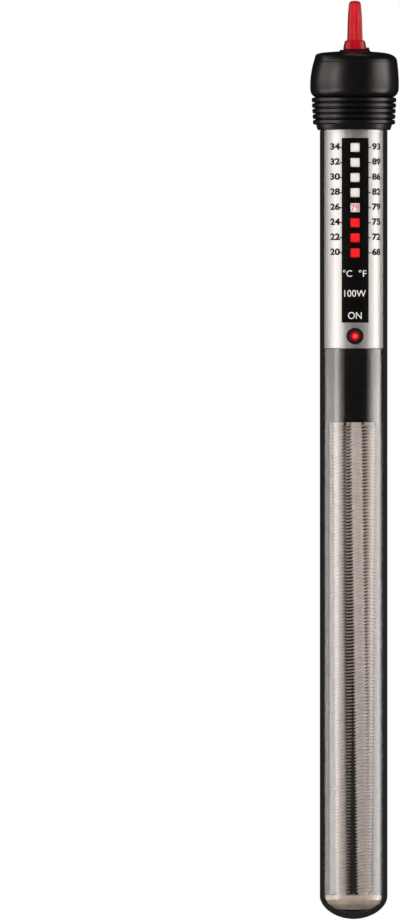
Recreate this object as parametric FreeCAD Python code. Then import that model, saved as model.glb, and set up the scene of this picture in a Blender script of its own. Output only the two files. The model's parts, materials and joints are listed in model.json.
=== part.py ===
import FreeCAD, Part
import math
import os
from FreeCAD import Vector

os.makedirs("parts", exist_ok=True)

# Units are mm. The tube axis is Z, the lowest point of the glass is z = 0 and the scale faces -Y.

# Glass tube
TUBE_R = 11.0
TUBE_WALL = 1.2
TUBE_BORE = TUBE_R - TUBE_WALL
DOME_H = 7.2
TUBE_TOP = 274.0
SEAT_R = 10.8
SEAT_Z = 256.5

# Rubber head cap
CAP_Z0 = 256.7
CAP_NECK_Z = 267.2
CAP_SHOULDER_Z = 268.1
CAP_TOP = 282.5
CAP_A = 14.35
CAP_B = 17.5
CAP_BORE = SEAT_R + 0.05
CAP_ROOF = 276.2
RIB_COUNT = 5
RIB_TOP_Z = 266.5
RIB_PITCH = 1.8
RIB_H = 1.1

# Mechanism axis: one offset serves the knob, the shaft, the scale and the windows
MX = 0.36
MY = -4.5

# Knob
KNOB_Z0 = 282.8
KNOB_TOP = 298.7
KNOB_BORE_TOP = 294.2
KNOB_LOBES = 6

# Cord inlet
CORD_X = 1.0
CORD_Y = 5.7
CORD_R = 3.0
GLAND_R = 4.2
GLAND_Z0 = 274.5
GLAND_TOP = 283.7
CONDUCTOR_R = 1.2
CONDUCTOR_GAP = 3.0

# Bung
BUNG_Z0 = 262.0
BUNG_Z1 = 274.1
BUNG_R = 9.7
BUNG_RING_Z = (264.8, 269.4)

# Shaft and lead screw: four starts, and one turn lifts the strip by two windows
SHAFT_R = 1.9
SHAFT_TIP_R = 1.45
SHAFT_Z0 = 209.0
SHAFT_TOP = 294.0
SCREW_Z0 = 212.5
SCREW_Z1 = 252.5
SCREW_R = 1.75
SCREW_LOBE = 0.25
SCREW_CLEAR = 0.14
WINDOW_PITCH = 4.89
SCREW_LEAD = 2.0 * WINDOW_PITCH
SHAFT_RING_Z = (266.0, 270.6)

# Label sleeve and scale
SLEEVE_R = 9.55
SLEEVE_WALL = 0.3
SLEEVE_Z0 = 185.7
SLEEVE_Z1 = 261.6
WINDOW_COUNT = 8
WINDOW_TOP_Z = 250.9
WINDOW_SIZE = 3.1
LAMP_Z = 189.6

# Indicator strip and its nut
STRIP_TOP = 228.9
STRIP_LEN = 41.5
STRIP_HALF = 1.9
STRIP_R = (8.8, 9.1)
BACKING_R = (8.35, 8.6)
BACKING_HALF = 2.3
EAR_HALF = 3.3
EAR_H = 1.4
NUT_Z = 223.4
NUT_H = 4.6

# Adjusting screw, M3 x 0.5, with a cone tip that bears on the set arm
ADJ_R = 1.5
ADJ_PITCH = 0.5
ADJ_TIP_Z = 196.4
ADJ_CONE_Z = 199.0
ADJ_THREAD_Z = 206.6
ADJ_TAIL_Z = 213.2
ADJ_TAIL = 1.5
ADJ_NUT_Z = (201.0, 204.6)

# Contact blades, clamped at their top end
STACK_Z0 = 244.1
STACK_Z1 = 252.3
PIVOT_Z = 244.0
BLADE_T = 0.4
SET_Y = -0.6
BIMETAL_Y = 1.5
BLADE_W = 4.0
CONTACT_Z = 206.0
FOOT_Z = 197.7

# Heating element
ROD_RING = 4.95
ROD_R = 1.64
ROD_Z0 = 5.6
ROD_Z1 = 163.8
ROD_START_DEG = -142.0
TWIST_DEG = -29.5
COIL_R = 1.98
COIL_WIRE = 0.3
COIL_PITCH = 1.07
COIL_TURNS = 142
COIL_Z0 = 8.5
DISC_LOW = (3.5, 7.8)
DISC_TOP = (161.6, 165.6)

# Leads between the element and the thermostat, and the crimps for the cord's conductors
LEAD_R = 0.4
LAMP_LEAD_R = 0.22
LEAD_POINTS = ((-5.07, 2.37), (5.07, -2.37))
SUPPLY_POINT = (5.6, 0.9)
CRIMP_Z = (257.2, 261.4)

# Chassis frame
FRAME_R = 9.05
RAIL_WALL = 1.05
RAIL_X = 6.2
RAIL_HALF_Y = 5.6
FRAME_Z0 = 186.2
FRAME_Z1 = 261.8
SHELF_LOW = (200.4, 205.4)
SHELF_TOP = (254.4, 256.9)
POST_Z1 = 255.0

# Heat shield
SHIELD_Z0 = 161.6
SHIELD_Z1 = 185.6
SHIELD_R = 9.6
SHIELD_WALL = 0.5


def save(shape, name):
    shape.exportStep("parts/" + name + ".step")


def cyl(radius, z0, z1, x=0.0, y=0.0):
    return Part.makeCylinder(radius, z1 - z0, Vector(x, y, z0))


def cyl_y(radius, y0, y1, x, z):
    return Part.makeCylinder(radius, y1 - y0, Vector(x, y0, z), Vector(0, 1, 0))


def tube(outer, inner, z0, z1, x=0.0, y=0.0):
    return cyl(outer, z0, z1, x, y).cut(cyl(inner, z0 - 0.1, z1 + 0.1, x, y))


def box(x0, x1, y0, y1, z0, z1):
    return Part.makeBox(x1 - x0, y1 - y0, z1 - z0, Vector(x0, y0, z0))


def torus(major, minor, z, x=0.0, y=0.0):
    return Part.makeTorus(major, minor, Vector(x, y, z), Vector(0, 0, 1))


def revolved(points, x=0.0, y=0.0):
    # Points are (radius, z) pairs of a closed outline.
    outline = [Vector(r, 0, z) for r, z in points]
    face = Part.Face(Part.makePolygon(outline + [outline[0]]))
    solid = face.revolve(Vector(0, 0, 0), Vector(0, 0, 1), 360)
    solid.translate(Vector(x, y, 0))
    return solid


def group(shapes):
    return Part.makeCompound(shapes)


def ellipse_wire(a, b, z, x=0.0):
    # An ellipse whose longer half axis b lies along Y.
    curve = Part.Ellipse(Vector(x, b, z), Vector(x + a, 0, z), Vector(x, 0, z))
    return Part.Wire([curve.toShape()])


def lobed_wire(radius, depth, count, z, phase=0.0):
    points = []
    steps = count * 8
    for i in range(steps):
        angle = 2.0 * math.pi * i / steps
        r = radius + depth * math.cos(count * angle + phase)
        points.append(Vector(r * math.cos(angle), r * math.sin(angle), z))
    curve = Part.BSplineCurve()
    curve.interpolate(points, PeriodicFlag=True)
    return Part.Wire([curve.toShape()])


def wire_run(points, radius, straight=None):
    # A round wire with eased bends. It can begin with a straight leg up to the first point.
    curve = Part.BSplineCurve()
    up = Vector(0, 0, 1)
    curve.interpolate([Vector(*p) for p in points], InitialTangent=up, FinalTangent=up)
    if straight is None:
        edges = [curve.toShape()]
        start = Vector(*points[0])
    else:
        start = Vector(*straight)
        edges = [Part.makeLine(start, Vector(*points[0])), curve.toShape()]
    section = Part.Wire([Part.makeCircle(radius, start, up)])
    return Part.Wire(edges).makePipeShell([section], True, True)


def bent_wire(points, radius):
    # A round wire whose ends follow the curve freely.
    curve = Part.BSplineCurve()
    curve.interpolate([Vector(*p) for p in points])
    start = curve.value(curve.FirstParameter)
    heading = curve.tangent(curve.FirstParameter)[0]
    section = Part.Wire([Part.makeCircle(radius, start, heading)])
    return Part.Wire([curve.toShape()]).makePipeShell([section], True, True)


def twisted(radius, depth, count, z0, z1, lead):
    # A multi-start screw form: the lobed section turns once in each lead, right-handed.
    length = z1 - z0
    spine = Part.Wire([Part.makeLine(Vector(0, 0, z0), Vector(0, 0, z1))])
    guide = Part.makeHelix(lead, length, radius)
    guide.translate(Vector(0, 0, z0))
    shell = Part.BRepOffsetAPI.MakePipeShell(spine)
    shell.setAuxiliarySpine(Part.Wire(guide.Edges), True, 0)
    shell.add(lobed_wire(radius, depth, count, z0))
    shell.build()
    shell.makeSolid()
    return shell.shape()


def domed_rod(radius, z_tip, z_top):
    # A round bar with an elliptical lower end: a stretched ball joined to a cylinder.
    ball = Part.makeSphere(radius)
    stretch = FreeCAD.Matrix()
    stretch.scale(1.0, 1.0, (DOME_H - z_tip) / radius)
    dome = ball.transformGeometry(stretch)
    dome.translate(Vector(0, 0, DOME_H))
    dome = dome.common(cyl(radius + 1, z_tip - 1, DOME_H))
    return dome.fuse(cyl(radius, DOME_H, z_top))


def make_glass_tube():
    # The mouth is ground down a little to a seat for the rubber head.
    lip = 0.4
    outer = domed_rod(TUBE_R, 0.0, SEAT_Z)
    outer = outer.fuse(cyl(SEAT_R, SEAT_Z, TUBE_TOP - lip))
    outer = outer.fuse(Part.makeCone(SEAT_R, SEAT_R - lip, lip, Vector(0, 0, TUBE_TOP - lip)))
    inner = domed_rod(TUBE_BORE, 1.3, TUBE_TOP + 1)
    return outer.cut(inner).removeSplitter()


def make_head_cap():
    # Each section is (z, half width, half depth, sideways shift).
    body_sections = [
        (CAP_SHOULDER_Z, 13.75, 16.7, 0.0),
        (268.8, 14.25, 17.35, 0.0),
        (269.8, CAP_A, CAP_B, 0.0),
        (273.0, 14.25, 17.3, 0.02),
        (276.5, 14.08, 17.0, 0.08),
        (279.0, 13.8, 16.7, 0.2),
        (280.4, 13.35, 16.2, 0.32),
        (281.2, 12.6, 15.4, 0.42),
        (281.65, 11.4, 14.1, 0.45),
        (282.0, 9.0, 11.4, 0.4),
        (282.3, 5.5, 7.2, 0.2),
        (CAP_TOP, 1.2, 1.6, 0.0),
    ]
    wires = [ellipse_wire(a, b, z, x) for z, a, b, x in body_sections]
    body = Part.makeLoft(wires, True, False)
    neck_sections = [
        (CAP_Z0, 11.9, 12.9),
        (257.4, 12.25, 13.6),
        (262.0, 12.45, 14.4),
        (CAP_NECK_Z, 12.75, 15.3),
        (CAP_SHOULDER_Z + 0.5, 12.75, 15.3),
    ]
    neck = Part.makeLoft([ellipse_wire(a, b, z) for z, a, b in neck_sections], True, True)
    cap = body.fuse(neck)
    for i in range(RIB_COUNT):
        z = RIB_TOP_Z - i * RIB_PITCH
        a = 13.75 - 0.1 * i
        b = 16.6 - 0.35 * i
        rib = Part.makeLoft(
            [
                ellipse_wire(a - 1.1, b - 1.1, z - RIB_H / 2 - 0.1),
                ellipse_wire(a - 0.2, b - 0.2, z - RIB_H / 2 + 0.2),
                ellipse_wire(a, b, z),
                ellipse_wire(a - 0.2, b - 0.2, z + RIB_H / 2 - 0.2),
                ellipse_wire(a - 1.1, b - 1.1, z + RIB_H / 2 + 0.1),
            ],
            True,
            True,
        )
        cap = cap.fuse(rib)
    cap = cap.cut(cyl(CAP_BORE, CAP_Z0 - 1, CAP_ROOF))
    cap = cap.cut(cyl(2.3, CAP_ROOF - 1, CAP_TOP + 2, MX, MY))
    cap = cap.cut(cyl(5.05, 281.4, CAP_TOP + 2, MX, MY))
    cap = cap.cut(cyl(GLAND_R - 0.35, CAP_ROOF - 1, CAP_TOP + 2, CORD_X, CORD_Y))
    cap = cap.cut(cyl(GLAND_R + 0.05, 280.9, CAP_TOP + 2, CORD_X, CORD_Y))
    return cap


def make_knob_collar():
    outline = [
        (2.3, 281.4), (5.0, 281.4), (5.0, 282.5), (4.75, 282.75), (4.35, 282.75), (4.25, 282.5),
        (4.05, 282.5), (3.95, 282.65), (3.55, 282.65), (3.45, 282.4), (2.3, 282.4),
    ]
    return revolved(outline, MX, MY)


def make_cord_gland():
    r = CORD_R
    outline = [
        (r, GLAND_Z0), (4.6, GLAND_Z0), (4.6, 276.0), (3.8, 276.0), (3.8, 280.9), (GLAND_R, 280.9),
        (GLAND_R, GLAND_TOP - 0.5), (GLAND_R - 0.5, GLAND_TOP), (r + 0.2, GLAND_TOP),
        (r, GLAND_TOP - 0.2),
    ]
    return revolved(outline, CORD_X, CORD_Y)


def make_tube_bung():
    bung = cyl(BUNG_R, BUNG_Z0, BUNG_Z1)
    flange = cyl(TUBE_R - 0.2, BUNG_Z1, 276.0)
    bung = bung.fuse(flange)
    for z in BUNG_RING_Z:
        bung = bung.cut(tube(BUNG_R + 1, 8.4, z - 0.75, z + 0.75))
    bung = bung.cut(cyl(SHAFT_R + 0.2, BUNG_Z0 - 1, 277, MX, MY))
    for z in SHAFT_RING_Z:
        bung = bung.cut(cyl(3.1, z - 0.6, z + 0.6, MX, MY))
    for side in (-0.5, 0.5):
        bung = bung.cut(cyl(CONDUCTOR_R, BUNG_Z0 - 1, 277, CORD_X + side * CONDUCTOR_GAP, CORD_Y))
    return bung.cut(cyl(4.65, GLAND_Z0 - 0.05, 277, CORD_X, CORD_Y))


def make_bung_rings():
    return group([torus(9.1, 0.66, z) for z in BUNG_RING_Z])


def make_shaft_rings():
    return group([torus(2.48, 0.54, z, MX, MY) for z in SHAFT_RING_Z])


def make_label_sleeve():
    sleeve = tube(SLEEVE_R, SLEEVE_R - SLEEVE_WALL, SLEEVE_Z0, SLEEVE_Z1)
    half = WINDOW_SIZE / 2
    for i in range(WINDOW_COUNT):
        z = WINDOW_TOP_Z - i * WINDOW_PITCH
        sleeve = sleeve.cut(box(MX - half, MX + half, -11, -7, z - half, z + half))
    return sleeve.cut(cyl_y(1.65, -11, -7, MX, LAMP_Z))


def make_lamp_bezel():
    ring = tube(SLEEVE_R + 0.17, SLEEVE_R + 0.02, LAMP_Z - 4, LAMP_Z + 4)
    ring = ring.common(cyl_y(2.7, -11, -7, MX, LAMP_Z))
    return ring.cut(cyl_y(1.65, -11, -7, MX, LAMP_Z))


def make_lamp_lens():
    lens = tube(SLEEVE_R + 0.15, SLEEVE_R - 0.28, LAMP_Z - 4, LAMP_Z + 4)
    return lens.common(cyl_y(1.6, -11, -7, MX, LAMP_Z))


def front_sector(radii, half, z0, z1):
    # A curved strip that follows the inside of the sleeve, centred on the scale.
    return tube(radii[1], radii[0], z0, z1).common(box(MX - half, MX + half, -11, -5, z0 - 1, z1 + 1))


def make_window_backing():
    return front_sector(BACKING_R, BACKING_HALF, 205.0, 256.5)


def make_indicator_strip():
    strip = front_sector(STRIP_R, STRIP_HALF, STRIP_TOP - STRIP_LEN, STRIP_TOP)
    ears = front_sector(STRIP_R, EAR_HALF, NUT_Z - EAR_H, NUT_Z + EAR_H)
    return strip.fuse(ears).removeSplitter()


def make_indicator_nut():
    h = NUT_H / 2
    nut = cyl(2.5, NUT_Z - h, NUT_Z + h, MX, MY)
    bar = box(MX - EAR_HALF, MX + EAR_HALF, -6.6, MY + 0.6, NUT_Z - EAR_H, NUT_Z + EAR_H)
    nut = nut.fuse(bar)
    for x in (MX - EAR_HALF, MX + EAR_HALF - 0.75):
        arm = box(x, x + 0.75, -10, -5.0, NUT_Z - EAR_H, NUT_Z + EAR_H)
        nut = nut.fuse(arm.common(cyl(STRIP_R[0], NUT_Z - h, NUT_Z + h)))
    start = NUT_Z - SCREW_LEAD / 2
    bore = twisted(SCREW_R + SCREW_CLEAR, SCREW_LOBE, 4, start, start + SCREW_LEAD, SCREW_LEAD)
    bore.rotate(Vector(0, 0, 0), Vector(0, 0, 1), 360.0 * (start - SCREW_Z0) / SCREW_LEAD)
    bore.translate(Vector(MX, MY, 0))
    return nut.cut(bore).removeSplitter()


def make_knob_shaft():
    lower = cyl(SHAFT_TIP_R, SHAFT_Z0, SCREW_Z0 + 0.3)
    screw = twisted(SCREW_R, SCREW_LOBE, 4, SCREW_Z0, SCREW_Z1, SCREW_LEAD)
    collar = cyl(SHAFT_R + 0.3, SCREW_Z1 - 0.5, SCREW_Z1 + 0.4)
    upper = cyl(SHAFT_R, SCREW_Z1, SHAFT_TOP)
    shaft = lower.fuse(screw).fuse(collar.fuse(upper))
    shaft.translate(Vector(MX, MY, 0))
    flat = box(MX - 3, MX + 3, MY + 1.4, MY + 3, 284.5, SHAFT_TOP + 1)
    half = ADJ_TAIL / 2 + 0.06
    socket = box(MX - half, MX + half, MY - half, MY + half, SHAFT_Z0 - 1, SHAFT_Z0 + 5.2)
    groove = tube(SHAFT_R + 1, 1.5, 257.6, 258.2, MX, MY)
    return shaft.cut(flat).cut(socket).cut(groove)


def make_shaft_clip():
    clip = tube(3.1, 1.55, 257.65, 258.15, MX, MY)
    return clip.cut(box(MX - 1.2, MX + 1.2, MY, MY + 4, 257, 259))


def make_knob():
    # Each section is (z, mean radius, flute depth).
    stem_sections = [
        (285.0, 2.42, 0.14),
        (288.0, 2.34, 0.16),
        (293.0, 2.2, 0.17),
        (297.0, 2.05, 0.16),
        (297.9, 1.9, 0.13),
        (298.45, 1.55, 0.08),
        (KNOB_TOP, 0.9, 0.02),
    ]
    phase = math.pi
    wires = [lobed_wire(r, d, KNOB_LOBES, z, phase) for z, r, d in stem_sections]
    stem = Part.makeLoft(wires, True, False)
    stem.rotate(Vector(0, 0, 0), Vector(0, 0, 1), -90.0 + 180.0 / KNOB_LOBES)
    stem.translate(Vector(MX, MY, 0))
    flange_sections = [
        (KNOB_Z0, 3.45, 0.1),
        (KNOB_Z0 + 0.35, 3.7, 0.14),
        (KNOB_Z0 + 1.3, 3.65, 0.2),
        (KNOB_Z0 + 2.2, 3.2, 0.22),
        (285.8, 2.6, 0.2),
    ]
    rings = [lobed_wire(r, d, KNOB_LOBES, z, phase) for z, r, d in flange_sections]
    flange = Part.makeLoft(rings, True, False)
    flange.rotate(Vector(0, 0, 0), Vector(0, 0, 1), -90.0)
    flange.translate(Vector(MX, MY, 0))
    knob = stem.fuse(flange)
    bore = cyl(SHAFT_R + 0.02, KNOB_Z0 - 1, KNOB_BORE_TOP, MX, MY)
    flat = box(MX - 3, MX + 3, MY + 1.42, MY + 3, 284.6, SHAFT_TOP + 1)
    return knob.cut(bore.cut(flat))


def make_adjusting_screw():
    thread = Part.makeHelix(ADJ_PITCH, ADJ_THREAD_Z - ADJ_CONE_Z - 0.6, 1.2)
    thread.translate(Vector(0, 0, ADJ_CONE_Z + 0.3))
    start = ADJ_CONE_Z + 0.3
    tooth = Part.makePolygon(
        [
            Vector(1.1, 0, start - 0.24),
            Vector(ADJ_R, 0, start - 0.06),
            Vector(ADJ_R, 0, start + 0.06),
            Vector(1.1, 0, start + 0.24),
            Vector(1.1, 0, start - 0.24),
        ]
    )
    ridge = Part.Wire(thread.Edges).makePipeShell([Part.Wire(tooth)], True, True)
    cone = Part.makeCone(0.2, ADJ_R, ADJ_CONE_Z - ADJ_TIP_Z, Vector(0, 0, ADJ_TIP_Z))
    core = cyl(1.2, ADJ_CONE_Z, ADJ_THREAD_Z)
    head = cyl(ADJ_R, ADJ_THREAD_Z - 0.05, ADJ_THREAD_Z + 0.5)
    half = ADJ_TAIL / 2
    tail = box(-half, half, -half, half, ADJ_THREAD_Z, ADJ_TAIL_Z)
    screw = core.fuse(cone).fuse(ridge).fuse(head).fuse(tail)
    screw.translate(Vector(MX, MY, 0))
    return screw


def make_adjusting_nut():
    z0, z1 = ADJ_NUT_Z
    nut = tube(2.6, ADJ_R + 0.06, z0, z1, MX, MY)
    collar = tube(3.0, 2.5, z0, z0 + 0.8, MX, MY)
    return nut.fuse(collar).removeSplitter()


def strip_channel():
    # The front slot that the strip slides in and its white backing stands in.
    return tube(12, BACKING_R[0] - 0.02, 180, 258).common(box(MX - 2.9, MX + 2.9, -12, -5, 180, 258))


def make_rails():
    # Two curved side rails, joined by a foot at the bottom and a ring at the top.
    wall = tube(FRAME_R, FRAME_R - RAIL_WALL, FRAME_Z0, FRAME_Z1)
    left = box(-10, -RAIL_X, -RAIL_HALF_Y, RAIL_HALF_Y, FRAME_Z0, FRAME_Z1)
    right = box(RAIL_X, 10, -RAIL_HALF_Y, RAIL_HALF_Y, FRAME_Z0, FRAME_Z1)
    foot = cyl(FRAME_R, FRAME_Z0, FRAME_Z0 + 1.4)
    ring = tube(FRAME_R, FRAME_R - RAIL_WALL, FRAME_Z1 - 2.2, FRAME_Z1)
    return wall.common(left.fuse(right)).fuse(foot).fuse(ring)


def make_chassis():
    low_block = box(-FRAME_R, FRAME_R, -7.0, -1.5, SHELF_LOW[0], SHELF_LOW[1])
    shelf_low = cyl(FRAME_R, SHELF_LOW[0], SHELF_LOW[1]).common(low_block)
    backing_seat = box(MX - 2.8, MX + 2.8, -9.0, -6.4, 203.6, 207.2)
    shelf_top = cyl(FRAME_R, SHELF_TOP[0], SHELF_TOP[1])
    stack_post = box(-4.2, 4.2, 4.8, 6.6, STACK_Z0, POST_Z1)
    stack_front = box(-4.2, 4.2, -1.3, SET_Y, STACK_Z0, POST_Z1)
    chassis = make_rails().fuse(shelf_low).fuse(backing_seat).fuse(shelf_top)
    chassis = chassis.fuse(stack_post).fuse(stack_front)
    chassis = chassis.cut(strip_channel())
    nut_z0, nut_z1 = ADJ_NUT_Z
    chassis = chassis.cut(cyl(2.6, SHELF_LOW[0] - 1, nut_z1, MX, MY))
    chassis = chassis.cut(cyl(3.0, SHELF_LOW[0] - 1, nut_z0 + 0.8, MX, MY))
    chassis = chassis.cut(cyl(2.1, nut_z1 - 1, SHELF_LOW[1] + 1, MX, MY))
    chassis = chassis.cut(cyl(2.5, SHELF_TOP[0] - 1, SHELF_TOP[1] + 1, MX, MY))
    for x, y in LEAD_POINTS:
        chassis = chassis.cut(cyl(0.95, FRAME_Z0 - 1, SHELF_TOP[1] + 1, x, y))
    x, y = SUPPLY_POINT
    chassis = chassis.cut(cyl(0.7, SHELF_TOP[0] - 1, SHELF_TOP[1] + 1, x, y))
    return chassis.cut(rivet_holes()).removeSplitter()


def make_shaft_bush():
    bush = tube(2.5, SHAFT_R + 0.05, SHELF_TOP[0], SHELF_TOP[1], MX, MY)
    flange = tube(2.75, SHAFT_R + 0.05, SHELF_TOP[1], SHELF_TOP[1] + 0.6, MX, MY)
    return bush.fuse(flange).removeSplitter()


def make_stack_insulators():
    pads = []
    for y0, y1 in ((SET_Y + BLADE_T, BIMETAL_Y), (BIMETAL_Y + BLADE_T, 4.0)):
        pad = box(-3.2, 3.2, y0, y1, STACK_Z0 + 0.1, STACK_Z1)
        pads.append(pad.cut(rivet_holes()))
    return group(pads)


def rivet_holes():
    holes = [cyl_y(0.8, -3, 8, 0, z) for z in (246.4, 250.2)]
    return group(holes)


def make_terminal(y, side):
    plate = box(-2.6, 2.6, y, y + BLADE_T, STACK_Z0 + 0.1, STACK_Z1)
    if side > 0:
        tab = box(2.6, 5.2, y, y + BLADE_T, 249.4, 251.6)
    else:
        tab = box(-5.2, -2.6, y, y + BLADE_T, 249.4, 251.6)
    eyelet = cyl_y(0.5, y - 1, y + 2, side * 4.4, 250.5)
    return plate.fuse(tab).cut(rivet_holes()).cut(eyelet).removeSplitter()


def make_stack_plate():
    return box(-3.2, 3.2, 4.0, 4.8, STACK_Z0 + 0.1, STACK_Z1).cut(rivet_holes())


def make_stack_rivets():
    rivets = []
    for z in (246.4, 250.2):
        shank = cyl_y(0.76, -1.3, 6.6, 0, z)
        heads = cyl_y(1.3, -1.7, -1.3, 0, z).fuse(cyl_y(1.3, 6.6, 7.1, 0, z))
        rivets.append(shank.fuse(heads).removeSplitter())
    return group(rivets)


def make_set_arm():
    y0 = SET_Y
    blade = box(-BLADE_W / 2, BLADE_W / 2, y0, y0 + BLADE_T, FOOT_Z - 0.2, PIVOT_Z)
    foot = box(MX - 1.2, MX + 1.2, MY + 1.02, y0 + BLADE_T, FOOT_Z - 0.2, FOOT_Z + 0.2)
    return blade.fuse(foot).removeSplitter()


def make_set_contact():
    y0 = SET_Y + BLADE_T
    return cyl_y(1.1, y0, y0 + 0.4, 0, CONTACT_Z)


def make_snap_magnet():
    y0 = SET_Y + BLADE_T
    return box(-1.8, 1.8, y0, y0 + 0.6, 199.2, 202.4)


def make_bimetal_strip():
    y0 = BIMETAL_Y
    return box(-BLADE_W / 2, BLADE_W / 2, y0, y0 + BLADE_T, 198.6, PIVOT_Z)


def make_moving_contact():
    return cyl_y(1.1, BIMETAL_Y - 0.4, BIMETAL_Y, 0, CONTACT_Z)


def make_neon_lamp():
    bulb = cyl_y(1.6, -6.0, -1.4, MX, LAMP_Z)
    nose = Part.makeSphere(1.6, Vector(MX, -6.0, LAMP_Z))
    return bulb.fuse(nose).removeSplitter()


def make_lamp_holder():
    block = box(MX - 2.3, MX + 2.3, -4.6, -0.6, 187.6, 191.9)
    return block.cut(cyl_y(1.66, -6, -1.3, MX, LAMP_Z)).cut(cyl_y(0.9, -2, 1, MX, LAMP_Z))


def make_lamp_resistor():
    body = cyl(1.0, 189.0, 195.0, 4.6, 3.0)
    ends = cyl(1.15, 189.0, 190.2, 4.6, 3.0).fuse(cyl(1.15, 193.8, 195.0, 4.6, 3.0))
    leads = cyl(0.25, 188.0, 196.2, 4.6, 3.0)
    return body.fuse(ends).fuse(leads).removeSplitter()


def make_lamp_leads():
    to_resistor = [(MX + 0.5, -1.2, LAMP_Z), (MX + 0.6, -0.2, LAMP_Z), (3.4, 1.9, 188.2), (4.35, 2.75, 188.4)]
    to_element = [(MX - 0.5, -1.2, LAMP_Z), (MX - 0.6, -0.2, LAMP_Z), (-2.9, 1.2, 193.0), (-4.5, 2.05, 197.6)]
    to_return = [(4.6, 2.9, 196.5), (4.7, 2.2, 197.6), (4.9, -0.4, 198.6), (5.0, -1.72, 199.2)]
    return group([bent_wire(run, LAMP_LEAD_R) for run in (to_resistor, to_element, to_return)])


def make_heat_shield():
    return tube(SHIELD_R, SHIELD_R - SHIELD_WALL, SHIELD_Z0, SHIELD_Z1)


def make_shield_disc():
    disc = cyl(9.05, 184.6, 186.2)
    disc = disc.cut(strip_channel())
    for x, y in LEAD_POINTS:
        disc = disc.cut(cyl(0.95, 184, 187, x, y))
    return disc


def rod_ends(index):
    start = math.radians(ROD_START_DEG + 90.0 * index)
    turned = start + math.radians(TWIST_DEG)
    low = Vector(ROD_RING * math.cos(start), ROD_RING * math.sin(start), COIL_Z0)
    high_z = COIL_Z0 + COIL_PITCH * COIL_TURNS
    high = Vector(ROD_RING * math.cos(turned), ROD_RING * math.sin(turned), high_z)
    return low, high


def on_rod(shape, index):
    # Moves a shape drawn up the Z axis, with z = 0 at the coil start, onto its leaning rod.
    low, high = rod_ends(index)
    lean = FreeCAD.Rotation(Vector(0, 0, 1), high - low)
    placed = shape.copy()
    placed.Placement = FreeCAD.Placement(low, lean)
    return placed


def make_rod(index):
    rod = cyl(ROD_R, ROD_Z0 - COIL_Z0, ROD_Z1 - COIL_Z0)
    return on_rod(rod, index)


def make_coil_form():
    height = COIL_PITCH * COIL_TURNS
    helix = Part.makeLongHelix(COIL_PITCH, height, COIL_R, 0, False)
    points = []
    for i in range(4):
        angle = 0.5 * math.pi * i
        points.append(Vector(COIL_R + COIL_WIRE * math.cos(angle), 0, COIL_WIRE * math.sin(angle)))
    section = Part.makePolygon(points + [points[0]])
    shell = Part.BRepOffsetAPI.MakePipeShell(Part.Wire(helix.Edges))
    shell.setFrenetMode(True)
    shell.add(Part.Wire(section))
    shell.build()
    shell.makeSolid()
    return shell.shape()


def rod_sockets(z0, z1, radius):
    return [on_rod(cyl(radius, z0 - COIL_Z0, z1 - COIL_Z0), i) for i in range(4)]


def make_element_bottom():
    z0, z1 = DISC_LOW
    outline = [(0, z0), (6.4, z0), (8.4, z0 + 1.6), (9.1, z0 + 3.0), (9.1, z1 - 0.4), (8.7, z1), (0, z1)]
    disc = revolved(outline)
    for hole in rod_sockets(ROD_Z0, z1 + 1, ROD_R + 0.05):
        disc = disc.cut(hole)
    for x, y in bridge_points():
        disc = disc.cut(cyl(0.4, z0 - 1, z1 + 1, x, y))
    return disc


def make_element_top():
    z0, z1 = DISC_TOP
    disc = cyl(8.8, z0, z1)
    for hole in rod_sockets(z0 - 1, ROD_Z1, ROD_R + 0.05):
        disc = disc.cut(hole)
    for x, y in LEAD_POINTS:
        disc = disc.cut(cyl(0.6, z0 - 1, z1 + 1, x, y))
    return disc


def bridge_points():
    points = []
    for i in range(4):
        angle = math.radians(ROD_START_DEG + 90.0 * i)
        reach = ROD_RING - COIL_R - 0.24
        points.append((reach * math.cos(angle), reach * math.sin(angle)))
    return points


def make_coil_bridges():
    bridges = []
    holes = bridge_points()
    for a, b in ((0, 1), (2, 3)):
        xa, ya = holes[a]
        xb, yb = holes[b]
        z = DISC_LOW[0] - 0.35
        legs = cyl(0.3, z, COIL_Z0 - 0.5, xa, ya).fuse(cyl(0.3, z, COIL_Z0 - 0.5, xb, yb))
        start = Vector(xa, ya, z)
        end = Vector(xb, yb, z)
        span = Part.makeCylinder(0.3, (end - start).Length, start, end - start)
        ends = Part.makeSphere(0.3, start).fuse(Part.makeSphere(0.3, end))
        bridges.append(legs.fuse(span).fuse(ends).removeSplitter())
    return group(bridges)


def make_bottom_cushion():
    outline = [(0, 1.45), (2.6, 1.65), (4.6, 2.35), (4.6, 2.8), (0, 2.8)]
    return revolved(outline)


def make_ferrules():
    ferrules = []
    for x, y in LEAD_POINTS:
        ferrules.append(tube(1.0, LEAD_R + 0.02, 166.2, 171.2, x, y))
    return group(ferrules)


def make_lead_sleeving():
    sleeves = []
    for x, y in LEAD_POINTS:
        sleeves.append(tube(0.85, LEAD_R + 0.02, 171.8, 196.0, x, y))
    return group(sleeves)


def make_lead_element():
    x, y = LEAD_POINTS[0]
    return wire_run([(x, y, 236.0), (-4.75, 1.6, 244.5), (-4.4, 1.06, 251.2)], LEAD_R, (x, y, 162.4))


def make_lead_return():
    x, y = LEAD_POINTS[1]
    return cyl(LEAD_R, 162.4, CRIMP_Z[0] + 2.0, x, y)


def make_lead_supply():
    x, y = SUPPLY_POINT
    return wire_run([(4.3, 0.22, 249.8), (4.9, 0.5, 252.2), (x, y, 254.6), (x, y, CRIMP_Z[0] + 2.0)], LEAD_R)


def make_crimp_sleeves():
    sleeves = []
    for x, y in (LEAD_POINTS[1], SUPPLY_POINT):
        sleeves.append(tube(0.95, LEAD_R + 0.1, CRIMP_Z[0], CRIMP_Z[1], x, y))
    return group(sleeves)


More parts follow.
